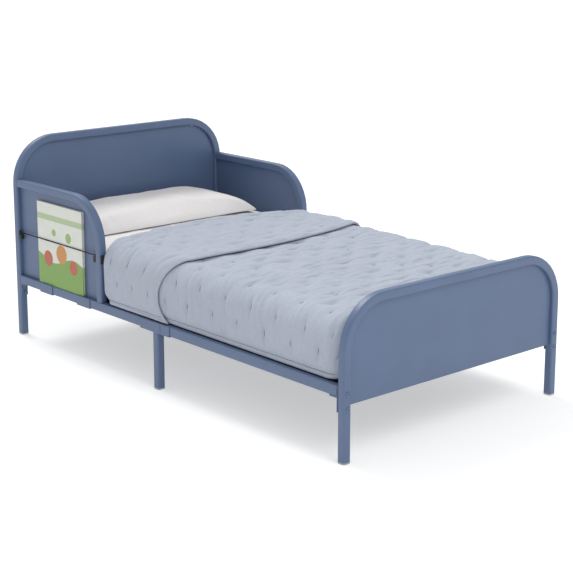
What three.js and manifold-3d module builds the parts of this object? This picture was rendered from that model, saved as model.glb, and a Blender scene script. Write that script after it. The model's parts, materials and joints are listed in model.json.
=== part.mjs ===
// A steel toddler bed: headboard, footboard, two guardrails, split side rails and slats,
// with its mattress, fitted sheet, pillow and quilt, and a book rack on one guardrail.
//
// Millimetres, +Z up. The head of the bed is at +Y and the book rack is on the -X side.
// The origin is on the floor, under the middle of the bed.
import * as THREE from "three";
import { mergeVertices } from "three/addons/utils/BufferGeometryUtils.js";
import Module from "manifold-3d";

// ---- Driving dimensions ----

const GAP = 0.3; // between pieces that touch

const BED_LENGTH = 1372;
const BED_WIDTH = 740;

const TUBE = 22; // side of the square tube of the frames and legs
const TUBE_WALL = 1.2;
const TUBE_CORNER = 4.5;

const HEAD_HEIGHT = 574;
const HEAD_BEND = 130; // outer radius of the tube's bends
const HEAD_PANEL_BOTTOM = 158;
const FOOT_HEIGHT = 378;
const FOOT_BEND = 124;
const FOOT_PANEL_BOTTOM = 133;
const PANEL_THICKNESS = 1.5;

const CROSS_RAIL_HEIGHT = 24;
const CROSS_RAIL_DEPTH = 12;

const RAIL_BOTTOM = 154;
const RAIL_HEIGHT = 24;
const RAIL_WIDTH = 20;
const RAIL_WALL = 1.2;
const RAIL_CORNER = 2.5;
const LEDGE_WIDTH = 14; // the flange inside each side rail that the slats lie on
const LEDGE_THICKNESS = 2;

const BRACKET_PLATE = 3; // rail end bracket, bolted to the post
const BRACKET_SHELF = 24; // how far the bracket runs under the rail
const BRACKET_DROP = 36; // how far its plate runs down below the rail
const BRACKET_MARGIN = 0.8; // the bracket is this much narrower than the tube

const MIDDLE_LEG_OFFSET = 12.5; // the middle legs stand a little towards the head
const SADDLE_WALL = 1.5; // sheet of the rail joiners and the guardrail clamps
const JOINER_LENGTH = 124;
const RAIL_SPLIT = -11.5; // where the two halves of each side rail meet
const SPLIT_SLOT = 1.6; // slot in the joiner at that place
const BEAM_WIDTH = 30;
const BEAM_HEIGHT = 9.6;

const SLAT_COUNT = 8;
const SLAT_WIDTH = 40;
const SLAT_HEIGHT = 10;
const SLAT_WALL = 1.5;
const SLAT_END_MARGIN = 78; // from the end posts to the first and last slat

const CAP_HEIGHT = 4; // the part of a leg cap that shows
const CAP_PLUG = 12;
const CAP_PLUG_CLEARANCE = 0.35;

const BOLT_RADIUS = 3;
const BOLT_HOLE_CLEARANCE = 0.35;
const BOLT_HEAD_RADIUS = 6;
const BOLT_HEAD_HEIGHT = 3;
const BOLT_SOCKET = 4; // across the flats of the hexagon socket
const BOLT_SOCKET_DEPTH = 1.8;
const BOLT_TIP = 4; // what passes through the bracket
const UPPER_BOLT_RISE = 9; // above the bottom of the rail
const BOLT_SPACING = 36;

const GUARD_HEIGHT = 457;
const GUARD_BEND = 126;
const GUARD_LENGTH = 410; // from the head post to the front of the guardrail
const GUARD_PANEL_RECESS = 12; // from the tube's outer face
const CLAMP_LENGTH = 62;
const CLAMP_DISTANCES = [109, 295]; // from the head post to each clamp

const BOOK_WIDTH = 225;
const BOOK_HEIGHT = 233;
const BOOK_THICKNESS = 8;
const BOOK_DISTANCE = 96; // from the head post
const BOOK_COVER = 1.6;
const BOOK_OVERHANG = 2.5; // how far the covers stand past the pages

const CORD_RADIUS = 1.5;
const CORD_HEIGHT = 128; // above the side rail
const CORD_INSET = 1.6; // from the tube's outer face to the middle of the cord
const ANCHOR_WIDTH = 9.6;
const ANCHOR_DEPTH = 11.5;
const ANCHOR_HEIGHT = 16;
const ANCHOR_DROP = 13; // from the cord to the middle of the anchor
const ANCHOR_COLLAR = 3.4; // radius of the eye that the cord ends in
const ANCHOR_COLLAR_DEPTH = 5;
const ANCHOR_PEG = 2.6; // radius
const ANCHOR_FLANGE = 2.6;
const ANCHOR_PEG_REACH = 9; // into the head post

const MATTRESS_THICKNESS = 150;
const MATTRESS_SIDE_CLEARANCE = 1.5; // from the made-up mattress to the nearer of the side rails and the guardrails
const MATTRESS_END_CLEARANCE = 7.5;
const MATTRESS_CORNER = 45;
const MATTRESS_EDGE = 24; // rounding of its long edges
const SHEET_THICKNESS = 1.2;
const SHEET_TURN_IN = 22; // the sheet's hem stops this far above the mattress's underside

const QUILT_THICKNESS = 12; // where it hangs
const QUILT_LOFT = 18; // thickness on top of the bed, where it puffs up
const QUILT_HEM_CLEARANCE = 3; // between the quilt's side hems and the side rail
const QUILT_FOOT_HEM = 12; // between the quilt's foot hem and the side rail's top
const QUILT_SIDE_SETBACK = 20; // the side drop stops this far short of the guardrails
const QUILT_TONGUE = 30; // how far the folded edge reaches in between the guardrails
const QUILT_TONGUE_CLEARANCE = 30; // between it and each guardrail
const FLAP_THICKNESS = 11;
const FLAP_LENGTH = 342;
const FLAP_SIDE_THICKNESS = 4.5;

const PILLOW_WIDTH = 640;
const PILLOW_DEPTH = 272;
const PILLOW_HEIGHT = 56;
const PILLOW_DISTANCE = 8; // from the head posts

const ARC_STEPS = 10;
const CORNER_STEPS = 3;

// ---- Places that follow from them ----

const halfLength = BED_LENGTH / 2;
const halfWidth = BED_WIDTH / 2;
const postFace = halfLength - TUBE; // inner face of the end posts
const railTop = RAIL_BOTTOM + RAIL_HEIGHT;
const railInner = halfWidth - RAIL_WIDTH;
const tubeInner = halfWidth - TUBE;
const tubeCentre = halfWidth - TUBE / 2;
const legBottom = CAP_HEIGHT + GAP;
const bracketFace = postFace - GAP - BRACKET_PLATE;
const railEnd = bracketFace - GAP;
const ledgeTop = RAIL_BOTTOM + LEDGE_THICKNESS;
const slatBottom = ledgeTop + GAP;
const slatTop = slatBottom + SLAT_HEIGHT;
const saddleTop = RAIL_BOTTOM - GAP;
const saddleBottom = saddleTop - SADDLE_WALL;
const guardFront = postFace - GUARD_LENGTH;
const guardBack = guardFront + TUBE;
const upperBolt = RAIL_BOTTOM + UPPER_BOLT_RISE;
const boltHeights = [upperBolt, upperBolt - BOLT_SPACING];
const guardBolt = GUARD_HEIGHT - TUBE / 2;
const cordHeight = railTop + CORD_HEIGHT;
const cordX = -halfWidth + CORD_INSET;
const anchorX = -halfWidth + CORD_INSET + ANCHOR_WIDTH / 2;
const anchorHeight = cordHeight - ANCHOR_DROP;
const sheetHalfWidth = Math.min(railInner, tubeInner) - MATTRESS_SIDE_CLEARANCE;
const sheetHalfLength = postFace - MATTRESS_END_CLEARANCE;
const mattressBottom = slatTop + GAP;
const mattressTop = mattressBottom + MATTRESS_THICKNESS;
const sheetTop = mattressTop + GAP + SHEET_THICKNESS;
const quiltInner = sheetHalfWidth + GAP;
const quiltOuter = quiltInner + QUILT_THICKNESS;
const quiltTop = sheetTop + GAP + QUILT_LOFT;
const quiltFoot = sheetHalfLength + GAP;

// ---- Materials ----

const paint = new THREE.MeshStandardMaterial({ color: 0x63759a, roughness: 0.5, metalness: 0.1 });
const steel = new THREE.MeshStandardMaterial({ color: 0x4d5a77, roughness: 0.4, metalness: 0.6 });
const capPlastic = new THREE.MeshStandardMaterial({ color: 0x9aa3a8, roughness: 0.45 });
const rubber = new THREE.MeshStandardMaterial({ color: 0x14171c, roughness: 0.7 });
const foam = new THREE.MeshStandardMaterial({ color: 0xf2efe8, roughness: 0.9 });
const sheetCotton = new THREE.MeshStandardMaterial({ color: 0xe9e4df, roughness: 0.95 });
const pillowCotton = new THREE.MeshStandardMaterial({ color: 0xefebe8, roughness: 0.95 });
const quiltCotton = new THREE.MeshStandardMaterial({ color: 0xaab4c6, roughness: 0.95 });
const card = new THREE.MeshStandardMaterial({ color: 0xe8e6df, roughness: 0.6 });

// ---- Outlines ----

// A rectangle with rounded corners, from its lowest and highest corners.
function roundedRectangle(low, high, radius, steps = CORNER_STEPS) {
  const shape = new THREE.Shape();
  const corners = [
    [high[0] - radius, low[1] + radius, -Math.PI / 2],
    [high[0] - radius, high[1] - radius, 0],
    [low[0] + radius, high[1] - radius, Math.PI / 2],
    [low[0] + radius, low[1] + radius, Math.PI],
  ];
  const points = [];
  for (const [x, y, start] of corners) {
    for (let i = 0; i <= steps; i++) {
      const angle = start + ((Math.PI / 2) * i) / steps;
      points.push(new THREE.Vector2(x + radius * Math.cos(angle), y + radius * Math.sin(angle)));
    }
  }
  shape.setFromPoints(points);
  return shape;
}

// The wall of a rounded rectangular tube, as a ring.
function tubeRing(width, height, wall, corner) {
  const low = [-width / 2, -height / 2];
  const high = [width / 2, height / 2];
  const ring = roundedRectangle(low, high, corner);
  const inside = roundedRectangle(
    [low[0] + wall, low[1] + wall],
    [high[0] - wall, high[1] - wall],
    corner - wall,
    2,
  );
  ring.holes.push(inside);
  return ring;
}

// A panel outline with its upper corners rounded, or only the upper corner at its low end.
function archedPanel(low, high, radius, onlyLowEnd = false) {
  const points = [new THREE.Vector2(low[0], low[1]), new THREE.Vector2(high[0], low[1])];
  const steps = ARC_STEPS;
  if (onlyLowEnd) {
    points.push(new THREE.Vector2(high[0], high[1]));
  } else {
    for (let i = 0; i <= steps; i++) {
      const angle = ((Math.PI / 2) * i) / steps;
      const x = high[0] - radius + radius * Math.cos(angle);
      points.push(new THREE.Vector2(x, high[1] - radius + radius * Math.sin(angle)));
    }
  }
  for (let i = 0; i <= steps; i++) {
    const angle = Math.PI / 2 + ((Math.PI / 2) * i) / steps;
    const x = low[0] + radius + radius * Math.cos(angle);
    points.push(new THREE.Vector2(x, high[1] - radius + radius * Math.sin(angle)));
  }
  return new THREE.Shape(points);
}

// ---- Solids from outlines ----

function extrude(shape, depth, more = {}) {
  return new THREE.ExtrudeGeometry(shape, { depth, bevelEnabled: false, curveSegments: 8, ...more });
}

function alongZ(shape, low, high) {
  return extrude(shape, high - low).translate(0, 0, low);
}

// The outline's x and y become X and Z.
function alongY(shape, low, high) {
  return extrude(shape, high - low).rotateX(Math.PI / 2).translate(0, high, 0);
}

// The outline's x and y become Y and Z.
function alongX(shape, low, high) {
  const turn = new THREE.Matrix4().makeBasis(
    new THREE.Vector3(0, 1, 0),
    new THREE.Vector3(0, 0, 1),
    new THREE.Vector3(1, 0, 0),
  );
  return extrude(shape, high - low).applyMatrix4(turn).translate(low, 0, 0);
}

function block(low, high) {
  const size = low.map((value, i) => high[i] - value);
  const centre = low.map((value, i) => (high[i] + value) / 2);
  return new THREE.BoxGeometry(...size).translate(...centre);
}

function rodAlongY(radius, low, high, x, z, sides = 12) {
  return new THREE.CylinderGeometry(radius, radius, high - low, sides).translate(x, (low + high) / 2, z);
}

// A route through corners with rounded bends, measured along the middle of the tube.
class BentPath extends THREE.Curve {
  constructor(corners, radius) {
    super();
    this.stations = [];
    this.directions = [];
    const add = (point, direction) => {
      this.stations.push(point);
      this.directions.push(direction);
    };
    const last = corners.length - 1;
    const heading = (i) => corners[i + 1].clone().sub(corners[i]).normalize();
    add(corners[0], heading(0));
    for (let i = 1; i < last; i++) {
      const before = heading(i - 1);
      const after = heading(i);
      const centre = corners[i].clone().addScaledVector(before, -radius).addScaledVector(after, radius);
      for (let step = 0; step <= ARC_STEPS; step++) {
        const angle = ((Math.PI / 2) * step) / ARC_STEPS;
        const forward = Math.cos(angle);
        const turned = Math.sin(angle);
        const point = centre
          .clone()
          .addScaledVector(after, -radius * forward)
          .addScaledVector(before, radius * turned);
        const direction = before.clone().multiplyScalar(forward).addScaledVector(after, turned);
        add(point, direction);
      }
    }
    add(corners[last], heading(last - 1));
    this.steps = this.stations.length - 1;
  }

  // The step that u falls in, and how far along it.
  place(u) {
    const along = u * this.steps;
    const step = Math.min(Math.floor(along + 1e-9), this.steps - 1);
    return [step, along - step];
  }

  getPoint(u, target = new THREE.Vector3()) {
    const [step, share] = this.place(u);
    return target.lerpVectors(this.stations[step], this.stations[step + 1], share);
  }

  getPointAt(u, target) {
    return this.getPoint(u, target);
  }

  getTangentAt(u, target = new THREE.Vector3()) {
    const [step, share] = this.place(u);
    return target.lerpVectors(this.directions[step], this.directions[step + 1], share).normalize();
  }
}

function bentTube(corners, outerRadius) {
  const path = new BentPath(corners, outerRadius - TUBE / 2);
  const ring = tubeRing(TUBE, TUBE, TUBE_WALL, TUBE_CORNER);
  return new THREE.ExtrudeGeometry(ring, { steps: path.steps, extrudePath: path, bevelEnabled: false });
}

// ---- Booleans ----

const wasm = await Module();
wasm.setup();

function toSolid(geometry) {
  const bare = geometry.clone();
  bare.deleteAttribute("normal");
  bare.deleteAttribute("uv");
  const merged = mergeVertices(bare, 1e-4);
  return new wasm.Manifold(
    new wasm.Mesh({
      numProp: 3,
      vertProperties: new Float32Array(merged.attributes.position.array),
      triVerts: new Uint32Array(merged.index.array),
    }),
  );
}

function toGeometry(solid) {
  const mesh = solid.getMesh();
  const geometry = new THREE.BufferGeometry();
  geometry.setAttribute("position", new THREE.BufferAttribute(mesh.vertProperties, 3));
  geometry.setIndex(new THREE.BufferAttribute(mesh.triVerts, 1));
  const flat = geometry.toNonIndexed();
  flat.computeVertexNormals();
  return flat;
}

function cut(geometry, tools) {
  return toGeometry(tools.reduce((solid, tool) => solid.subtract(toSolid(tool)), toSolid(geometry)));
}

function join(geometries) {
  return toGeometry(geometries.map(toSolid).reduce((whole, next) => whole.add(next)));
}

// ---- The scene graph ----

const bed = new THREE.Group();

function add(name, geometry, material) {
  const mesh = new THREE.Mesh(geometry, material);
  mesh.name = name;
  bed.add(mesh);
  return mesh;
}

const sides = [
  { side: "left", sign: -1 },
  { side: "right", sign: 1 },
];
const ends = [
  { end: "head", sign: 1, height: HEAD_HEIGHT, bend: HEAD_BEND, panelBottom: HEAD_PANEL_BOTTOM },
  { end: "foot", sign: -1, height: FOOT_HEIGHT, bend: FOOT_BEND, panelBottom: FOOT_PANEL_BOTTOM },
];

// ---- Headboard and footboard ----

// The holes for the bolts through one end's posts, and on the head end for the guardrails.
function postHoles(sign) {
  const heights = sign > 0 ? [...boltHeights, guardBolt] : boltHeights;
  const low = Math.min(sign * (postFace - 1), sign * (halfLength + 1));
  const radius = BOLT_RADIUS + BOLT_HOLE_CLEARANCE;
  return [-tubeCentre, tubeCentre].flatMap((x) =>
    heights.map((z) => rodAlongY(radius, low, low + TUBE + 2, x, z)),
  );
}

function pegHole(low, high) {
  return rodAlongY(ANCHOR_PEG + BOLT_HOLE_CLEARANCE, low, high, anchorX, anchorHeight);
}

function endTube({ sign, height, bend }) {
  const y = sign * (halfLength - TUBE / 2);
  const top = height - TUBE / 2;
  const corners = [
    new THREE.Vector3(-tubeCentre, y, legBottom),
    new THREE.Vector3(-tubeCentre, y, top),
    new THREE.Vector3(tubeCentre, y, top),
    new THREE.Vector3(tubeCentre, y, legBottom),
  ];
  const holes = postHoles(sign);
  if (sign > 0) holes.push(pegHole(postFace - 1, postFace + TUBE / 2));
  return cut(bentTube(corners, bend), holes);
}

function endPanel({ sign, height, bend, panelBottom }) {
  const side = tubeInner - GAP;
  const outline = archedPanel([-side, panelBottom], [side, height - TUBE - GAP], bend - TUBE - GAP);
  const y = sign * (halfLength - TUBE / 2);
  return alongY(outline, y - PANEL_THICKNESS / 2, y + PANEL_THICKNESS / 2);
}

// A flat tube behind the panel that stiffens the lower edge.
function crossRail({ sign, panelBottom }) {
  const outer = halfLength - (TUBE + PANEL_THICKNESS) / 2 - GAP;
  const y = sign * (outer - CROSS_RAIL_DEPTH / 2);
  const z = panelBottom + 1 + CROSS_RAIL_HEIGHT / 2;
  const ring = tubeRing(CROSS_RAIL_DEPTH, CROSS_RAIL_HEIGHT, TUBE_WALL, RAIL_CORNER);
  return alongX(ring, -tubeInner + GAP, tubeInner - GAP).translate(0, y, z);
}

for (const end of ends) {
  add(`${end.end}board_tube`, endTube(end), paint);
  add(`${end.end}board_panel`, endPanel(end), paint);
  add(`${end.end}_cross_rail`, crossRail(end), paint);
}

// ---- Side rails ----

// A tube with an inward flange along its bottom: x runs inwards from the outer face.
function railProfile(sign) {
  const x = (inset) => sign * (halfWidth - inset);
  const shape = new THREE.Shape();
  const points = [[RAIL_CORNER, RAIL_BOTTOM]];
  points.push([RAIL_WIDTH + LEDGE_WIDTH, RAIL_BOTTOM]);
  points.push([RAIL_WIDTH + LEDGE_WIDTH, ledgeTop]);
  points.push([RAIL_WIDTH, ledgeTop]);
  const arcs = [
    [RAIL_WIDTH - RAIL_CORNER, railTop - RAIL_CORNER, 0],
    [RAIL_CORNER, railTop - RAIL_CORNER, Math.PI / 2],
    [RAIL_CORNER, RAIL_BOTTOM + RAIL_CORNER, Math.PI],
  ];
  for (const [inset, z, start] of arcs) {
    for (let i = 0; i <= CORNER_STEPS; i++) {
      const angle = start + ((Math.PI / 2) * i) / CORNER_STEPS;
      points.push([inset + RAIL_CORNER * Math.cos(angle), z + RAIL_CORNER * Math.sin(angle)]);
    }
  }
  points.shift(); // the last arc ends where the outline starts
  shape.setFromPoints(points.map(([inset, z]) => new THREE.Vector2(x(inset), z)));
  const middle = x(RAIL_WIDTH / 2);
  const half = RAIL_WIDTH / 2 - RAIL_WALL;
  const hollowLow = [middle - half, RAIL_BOTTOM + RAIL_WALL];
  const hollowHigh = [middle + half, railTop - RAIL_WALL];
  shape.holes.push(roundedRectangle(hollowLow, hollowHigh, RAIL_CORNER - RAIL_WALL, 1));
  return shape;
}

for (const { side, sign } of sides) {
  const profile = railProfile(sign);
  add(`${side}_rail_head`, alongY(profile, RAIL_SPLIT + GAP / 2, railEnd), paint);
  add(`${side}_rail_foot`, alongY(profile, -railEnd, RAIL_SPLIT - GAP / 2), paint);
}

// ---- Rail end brackets and their bolts ----

// A plate against the post with a shelf under the end of the rail.
function endBracket(xSign, ySign) {
  const near = halfWidth - BRACKET_MARGIN;
  const far = halfWidth - TUBE + BRACKET_MARGIN;
  const xs = [xSign * near, xSign * far].sort((a, b) => a - b);
  const span = (from, to) => [ySign * from, ySign * to].sort((a, b) => a - b);
  const plate = span(bracketFace, bracketFace + BRACKET_PLATE);
  const shelf = span(bracketFace - BRACKET_SHELF, bracketFace + BRACKET_PLATE / 2);
  const bottom = RAIL_BOTTOM - BRACKET_DROP;
  const shelfTop = RAIL_BOTTOM - GAP;
  const whole = join([
    block([xs[0], plate[0], bottom], [xs[1], plate[1], railTop]),
    block([xs[0], shelf[0], shelfTop - BRACKET_PLATE], [xs[1], shelf[1], shelfTop]),
  ]);
  const radius = BOLT_RADIUS + BOLT_HOLE_CLEARANCE;
  return cut(
    whole,
    boltHeights.map((z) => rodAlongY(radius, plate[0] - 1, plate[1] + 1, xSign * tubeCentre, z)),
  );
}

// A button-head bolt with a hexagon socket, its shank along -Y from under its head at the origin.
function boltGeometry(shank) {
  const profile = [
    [0, -shank],
    [BOLT_RADIUS, -shank],
    [BOLT_RADIUS, 0],
    [BOLT_HEAD_RADIUS, 0],
    [BOLT_HEAD_RADIUS, 0.3 * BOLT_HEAD_HEIGHT],
    [0.8 * BOLT_HEAD_RADIUS, 0.8 * BOLT_HEAD_HEIGHT],
    [0.5 * BOLT_HEAD_RADIUS, BOLT_HEAD_HEIGHT],
    [0, BOLT_HEAD_HEIGHT],
  ].map(([radius, y]) => new THREE.Vector2(radius, y));
  const body = new THREE.LatheGeometry(profile, 12);
  const socketRadius = BOLT_SOCKET / 2 / Math.cos(Math.PI / 6);
  const socket = new THREE.CylinderGeometry(socketRadius, socketRadius, 2 * BOLT_SOCKET_DEPTH, 6);
  return cut(body, [socket.translate(0, BOLT_HEAD_HEIGHT, 0)]);
}

const frameBolt = boltGeometry(TUBE + 2 * GAP + BRACKET_PLATE + BOLT_TIP);
const guardScrew = boltGeometry(TUBE + 2 * GAP + 3 * BOLT_TIP);

function addBolt(name, geometry, x, sign, z) {
  const bolt = add(name, geometry, steel);
  bolt.position.set(x, sign * (halfLength + GAP), z);
  bolt.rotation.z = sign > 0 ? 0 : Math.PI;
}

for (const { side, sign } of sides) {
  for (const { end, sign: ySign } of ends) {
    add(`${side}_${end}_bracket`, endBracket(sign, ySign), paint);
    addBolt(`${side}_${end}_bolt_upper`, frameBolt, sign * tubeCentre, ySign, boltHeights[0]);
    addBolt(`${side}_${end}_bolt_lower`, frameBolt, sign * tubeCentre, ySign, boltHeights[1]);
  }
}

// ---- Rail joiners, middle legs and the beam between them ----

// An angle round the outside and underside of a side rail.
function saddle(sign, low, high) {
  const outer = halfWidth + GAP + SADDLE_WALL;
  const inner = railInner - LEDGE_WIDTH;
  const x = (value) => sign * value;
  const shape = new THREE.Shape(
    [
      [outer, railTop],
      [outer, saddleBottom],
      [inner, saddleBottom],
      [inner, saddleTop],
      [outer - SADDLE_WALL, saddleTop],
      [outer - SADDLE_WALL, railTop],
    ].map(([value, z]) => new THREE.Vector2(x(value), z)),
  );
  return alongY(shape, low, high);
}

function joiner(sign) {
  const low = MIDDLE_LEG_OFFSET - JOINER_LENGTH / 2;
  const reach = halfWidth + 2 * SADDLE_WALL;
  const xs = [sign * reach, sign * (halfWidth - SADDLE_WALL)].sort((a, b) => a - b);
  const slot = block(
    [xs[0], RAIL_SPLIT - SPLIT_SLOT / 2, saddleTop],
    [xs[1], RAIL_SPLIT + SPLIT_SLOT / 2, railTop + 1],
  );
  return cut(saddle(sign, low, low + JOINER_LENGTH), [slot]);
}

for (const { side, sign } of sides) {
  add(`${side}_rail_joiner`, joiner(sign), paint);
  const ring = tubeRing(TUBE, TUBE, TUBE_WALL, TUBE_CORNER);
  const leg = add(`${side}_middle_leg`, alongZ(ring, legBottom, saddleBottom - GAP), paint);
  leg.position.set(sign * tubeCentre, MIDDLE_LEG_OFFSET, 0);
}

const beamRing = tubeRing(BEAM_WIDTH, BEAM_HEIGHT, TUBE_WALL, RAIL_CORNER);
const beam = add("centre_beam", alongX(beamRing, -tubeInner + GAP, tubeInner - GAP), paint);
beam.position.set(0, MIDDLE_LEG_OFFSET, saddleBottom - GAP - BEAM_HEIGHT / 2);

// ---- Leg caps ----

// A plastic cap under a leg with a plug up inside the tube.
function legCap() {
  const half = TUBE / 2;
  const plug = half - TUBE_WALL - CAP_PLUG_CLEARANCE;
  return join([
    alongZ(roundedRectangle([-half, -half], [half, half], TUBE_CORNER), 0, CAP_HEIGHT),
    alongZ(roundedRectangle([-plug, -plug], [plug, plug], TUBE_CORNER - TUBE_WALL, 2), 1, legBottom + CAP_PLUG),
  ]);
}

const capGeometry = legCap();
const legPlaces = [
  ["head", halfLength - TUBE / 2],
  ["middle", MIDDLE_LEG_OFFSET],
  ["foot", -halfLength + TUBE / 2],
];
for (const { side, sign } of sides) {
  for (const [place, y] of legPlaces) {
    const cap = add(`${side}_${place}_leg_cap`, capGeometry, capPlastic);
    cap.position.set(sign * tubeCentre, y, 0);
  }
}

// ---- Slats ----

// A channel, open underneath, lying across the ledges of the side rails.
function slatGeometry() {
  const half = SLAT_WIDTH / 2;
  const shape = new THREE.Shape(
    [
      [-half, 0],
      [-half + SLAT_WALL, 0],
      [-half + SLAT_WALL, SLAT_HEIGHT - SLAT_WALL],
      [half - SLAT_WALL, SLAT_HEIGHT - SLAT_WALL],
      [half - SLAT_WALL, 0],
      [half, 0],
      [half, SLAT_HEIGHT],
      [-half, SLAT_HEIGHT],
    ].map(([y, z]) => new THREE.Vector2(y, z)),
  );
  return alongX(shape, -railInner + GAP, railInner - GAP);
}

const slatShape = slatGeometry();
const slatReach = postFace - SLAT_END_MARGIN;
for (let i = 0; i < SLAT_COUNT; i++) {
  const slat = add(`slat_${i + 1}`, slatShape, paint);
  slat.position.set(0, slatReach - (2 * slatReach * i) / (SLAT_COUNT - 1), slatBottom);
}

// ---- Guardrails ----

function guardTube(sign) {
  const corners = [
    new THREE.Vector3(sign * tubeCentre, postFace - GAP, guardBolt),
    new THREE.Vector3(sign * tubeCentre, guardFront + TUBE / 2, guardBolt),
    new THREE.Vector3(sign * tubeCentre, guardFront + TUBE / 2, railTop + GAP),
  ];
  const tube = bentTube(corners, GUARD_BEND);
  return sign < 0 ? cut(tube, [pegHole(guardFront - 1, guardBack + 1)]) : tube;
}

function guardPanel(sign) {
  const low = [guardBack + GAP, railTop + GAP];
  const high = [postFace - GAP, GUARD_HEIGHT - TUBE - GAP];
  const outline = archedPanel(low, high, GUARD_BEND - TUBE - GAP, true);
  const outer = halfWidth - GUARD_PANEL_RECESS;
  const xs = [sign * outer, sign * (outer - PANEL_THICKNESS)].sort((a, b) => a - b);
  return alongX(outline, ...xs);
}

for (const { side, sign } of sides) {
  add(`${side}_guardrail_tube`, guardTube(sign), paint);
  add(`${side}_guardrail_panel`, guardPanel(sign), paint);
  addBolt(`${side}_guardrail_bolt`, guardScrew, sign * tubeCentre, 1, guardBolt);
  CLAMP_DISTANCES.forEach((distance, i) => {
    const high = postFace - distance;
    add(`${side}_guardrail_clamp_${i + 1}`, saddle(sign, high - CLAMP_LENGTH, high), paint);
  });
}

// ---- Book rack on the left guardrail ----

const anchorLow = [anchorX - ANCHOR_WIDTH / 2, anchorHeight - ANCHOR_HEIGHT / 2];
const anchorHigh = [anchorX + ANCHOR_WIDTH / 2, anchorHeight + ANCHOR_HEIGHT / 2];

// The bead and the eye for the cord, on the side of a tube's face that direction points to.
function anchorBody(face, direction) {
  const span = (depth) => [face, face + direction * depth].sort((a, b) => a - b);
  const eyeBottom = anchorHeight;
  const eye = rodAlongY(ANCHOR_COLLAR, ...span(ANCHOR_COLLAR_DEPTH), cordX + ANCHOR_COLLAR - 1, cordHeight);
  const neckLow = [cordX - 0.8, eyeBottom];
  const neckHigh = [cordX + 2 * ANCHOR_COLLAR - 1.2, cordHeight];
  return [
    alongY(roundedRectangle(anchorLow, anchorHigh, 3), ...span(ANCHOR_DEPTH)),
    alongY(roundedRectangle(neckLow, neckHigh, 1, 1), ...span(ANCHOR_COLLAR_DEPTH)),
    eye,
  ];
}

function headAnchor() {
  const face = postFace - GAP;
  const peg = rodAlongY(ANCHOR_PEG, face - 1, face + ANCHOR_PEG_REACH, anchorX, anchorHeight);
  return join([...anchorBody(face, -1), peg]);
}

function frontAnchor() {
  const face = guardBack + GAP;
  const front = guardFront - GAP;
  const flangeHigh = [anchorHigh[0], cordHeight + ANCHOR_COLLAR];
  return join([
    ...anchorBody(face, 1),
    rodAlongY(ANCHOR_PEG, front - 1, face + 1, anchorX, anchorHeight),
    alongY(roundedRectangle(anchorLow, flangeHigh, 3), front - ANCHOR_FLANGE, front),
  ]);
}

add("rack_anchor_head", headAnchor(), rubber);
add("rack_anchor_front", frontAnchor(), rubber);

// The elastic cord stretched between the two anchors' eyes.
const cordEnds = [
  guardBack + GAP + ANCHOR_COLLAR_DEPTH + GAP,
  postFace - GAP - ANCHOR_COLLAR_DEPTH - GAP,
];
const cordLine = new THREE.LineCurve3(
  new THREE.Vector3(cordX, cordEnds[0], cordHeight),
  new THREE.Vector3(cordX, cordEnds[1], cordHeight),
);
const cordSection = new THREE.Shape().absarc(0, 0, CORD_RADIUS, 0, 2 * Math.PI);
const cordGeometry = new THREE.ExtrudeGeometry(cordSection, {
  steps: 8,
  curveSegments: 8,
  extrudePath: cordLine,
  bevelEnabled: false,
});
add("rack_cord", cordGeometry, rubber);

// A hardback picture book standing on the side rail, its spine towards the head.
function bookGeometry() {
  const back = -halfWidth + GUARD_PANEL_RECESS - GAP;
  const front = back - BOOK_THICKNESS;
  const bottom = railTop + GAP;
  const spine = postFace - BOOK_DISTANCE;
  const edge = spine - BOOK_WIDTH;
  const top = bottom + BOOK_HEIGHT;
  const cover = new THREE.Shape(
    [
      [front, edge],
      [front + BOOK_COVER, edge],
      [front + BOOK_COVER, spine - BOOK_COVER],
      [back - BOOK_COVER, spine - BOOK_COVER],
      [back - BOOK_COVER, edge],
      [back, edge],
      [back, spine],
      [front, spine],
    ].map(([x, y]) => new THREE.Vector2(x, y)),
  );
  const pagesLow = [front + BOOK_COVER / 2, edge + BOOK_OVERHANG, bottom + BOOK_OVERHANG];
  const pagesHigh = [back - BOOK_COVER / 2, spine - BOOK_COVER / 2, top - BOOK_OVERHANG];
  return join([alongZ(cover, bottom, top), block(pagesLow, pagesHigh)]);
}

add("picture_book", bookGeometry(), card);

// ---- Mattress and fitted sheet ----

// A slab with rounded upright corners and rounded long edges.
function softSlab(halfX, halfY, low, high, corner, edge) {
  const outline = roundedRectangle([-halfX, -halfY], [halfX, halfY], corner, 4);
  return extrude(outline, high - low - 2 * edge, {
    bevelEnabled: true,
    bevelThickness: edge,
    bevelSize: edge,
    bevelOffset: -edge,
    bevelSegments: 3,
  }).translate(0, 0, low + edge);
}

const mattressInset = SHEET_THICKNESS + GAP;
const mattress = softSlab(
  sheetHalfWidth - mattressInset,
  sheetHalfLength - mattressInset,
  mattressBottom,
  mattressTop,
  MATTRESS_CORNER,
  MATTRESS_EDGE,
);
add("mattress", mattress, foam);

function fittedSheet() {
  const outer = softSlab(
    sheetHalfWidth,
    sheetHalfLength,
    mattressBottom - mattressInset,
    sheetTop,
    MATTRESS_CORNER + mattressInset,
    MATTRESS_EDGE + mattressInset,
  );
  const inner = softSlab(
    sheetHalfWidth - SHEET_THICKNESS,
    sheetHalfLength - SHEET_THICKNESS,
    mattressBottom - GAP,
    sheetTop - SHEET_THICKNESS,
    MATTRESS_CORNER + GAP,
    MATTRESS_EDGE + GAP,
  );
  const below = block(
    [-halfWidth, -halfLength, 0],
    [halfWidth, halfLength, mattressBottom + MATTRESS_EDGE + SHEET_TURN_IN],
  );
  return cut(outer, [inner, below]);
}

add("fitted_sheet", fittedSheet(), sheetCotton);

// ---- Pillow ----

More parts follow.
